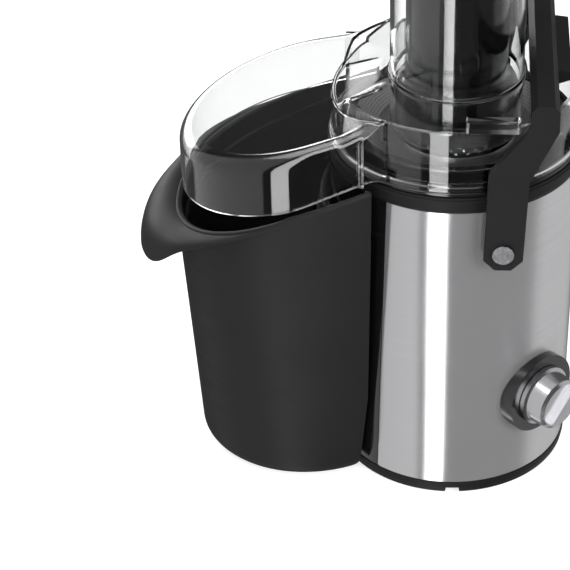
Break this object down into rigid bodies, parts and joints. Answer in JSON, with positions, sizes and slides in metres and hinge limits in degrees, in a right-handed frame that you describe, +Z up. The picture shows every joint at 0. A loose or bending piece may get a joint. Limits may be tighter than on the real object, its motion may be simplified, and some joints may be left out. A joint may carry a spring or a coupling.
{
  "type": "centrifugal juicer",
  "caption": "Centrifugal juicer with a steel-wrapped motor base, clear lid and feed tube, spinning sieve basket, locking arm and side pulp bin.",
  "frame": {"origin": "on the floor, under the middle of the whole machine's box", "axes": "+Z up, -X towards the pulp bin, -Y the front"},
  "size_m": [0.3134, 0.1736, 0.396],
  "materials": {
    "black_plastic": "satin moulded black plastic",
    "gloss_black": "glossy moulded black plastic",
    "satin_bin": "satin charcoal black plastic with a very fine texture",
    "clear_plastic": "clear polished plastic",
    "brushed_steel": "horizontally brushed stainless steel",
    "basket_steel": "fine perforated stainless steel",
    "bearing_steel": "ground steel",
    "iron": "laminated iron",
    "copper": "enamelled copper",
    "brass": "plain brass",
    "cast_metal": "die cast metal",
    "carbon": "pressed carbon",
    "rubber": "soft black rubber",
    "board_green": "green circuit board"
  },
  "bodies": {
    "machine": {"motor_housing": "black_plastic", "steel_wrap": "brushed_steel", "bin_side_panel": "black_plastic", "base_ring": "black_plastic", "base_plate": "black_plastic", "rubber_foot_1": "rubber", "rubber_foot_2": "rubber", "rubber_foot_3": "rubber", "rubber_foot_4": "rubber", "trim_collar": "black_plastic", "filter_bowl": "gloss_black", "shaft_seal": "rubber", "bowl_seal": "rubber", "clear_cover": "clear_plastic", "feed_tube": "clear_plastic", "bin_hood": "clear_plastic", "stator_stack": "iron", "field_coils_lower": "copper", "field_coils_upper": "copper", "lower_bearing": "bearing_steel", "upper_bearing": "bearing_steel", "lower_bracket": "cast_metal", "upper_bracket": "cast_metal", "motor_mount_1": "rubber", "motor_mount_2": "rubber", "motor_mount_3": "rubber", "motor_mount_4": "rubber", "carbon_brushes": "carbon", "brush_holders": "brass", "pivot_bosses": "black_plastic", "pivot_pins": "bearing_steel", "dial_plate": "gloss_black", "rotary_switch": "black_plastic", "circuit_board": "board_green", "interlock_switch": "black_plastic", "cord_inlet": "rubber", "plate_screws": "bearing_steel"},
    "spinner": {"motor_shaft": "bearing_steel", "rotor_stack": "iron", "rotor_windings": "copper", "commutator": "copper", "cooling_fan": "black_plastic", "drive_coupling": "black_plastic", "basket_hub": "black_plastic", "sieve_basket": "basket_steel", "grating_disc": "basket_steel"},
    "pusher": {"food_pusher": "gloss_black", "pusher_cap": "gloss_black"},
    "bin": {"pulp_bin": "satin_bin"},
    "arm": {"locking_arm": "black_plastic", "arm_grip": "rubber"},
    "knob": {"control_knob": "gloss_black", "knob_spindle": "bearing_steel"}
  },
  "joints": [
    {"name": "basket_spin", "type": "hinge", "parent": "machine", "child": "spinner", "pos_m": [0.0437, 0, 0.1], "axis": [0, 0, 1], "continuous": true},
    {"name": "pusher_slide", "type": "slide", "parent": "machine", "child": "pusher", "axis": [0, 0, 1], "range_m": [0, 0.115]},
    {"name": "bin_slide", "type": "slide", "parent": "machine", "child": "bin", "axis": [-1, 0, 0], "range_m": [0, 0.13]},
    {"name": "arm_swing", "type": "hinge", "parent": "machine", "child": "arm", "pos_m": [0.0737, 0, 0.195], "axis": [0, 1, 0], "range_deg": [0, 80]},
    {"name": "knob_turn", "type": "hinge", "parent": "machine", "child": "knob", "pos_m": [0.10239, -0.05869, 0.07], "axis": [0.7071, -0.7071, 0], "range_deg": [-90, 0]}
  ]
}
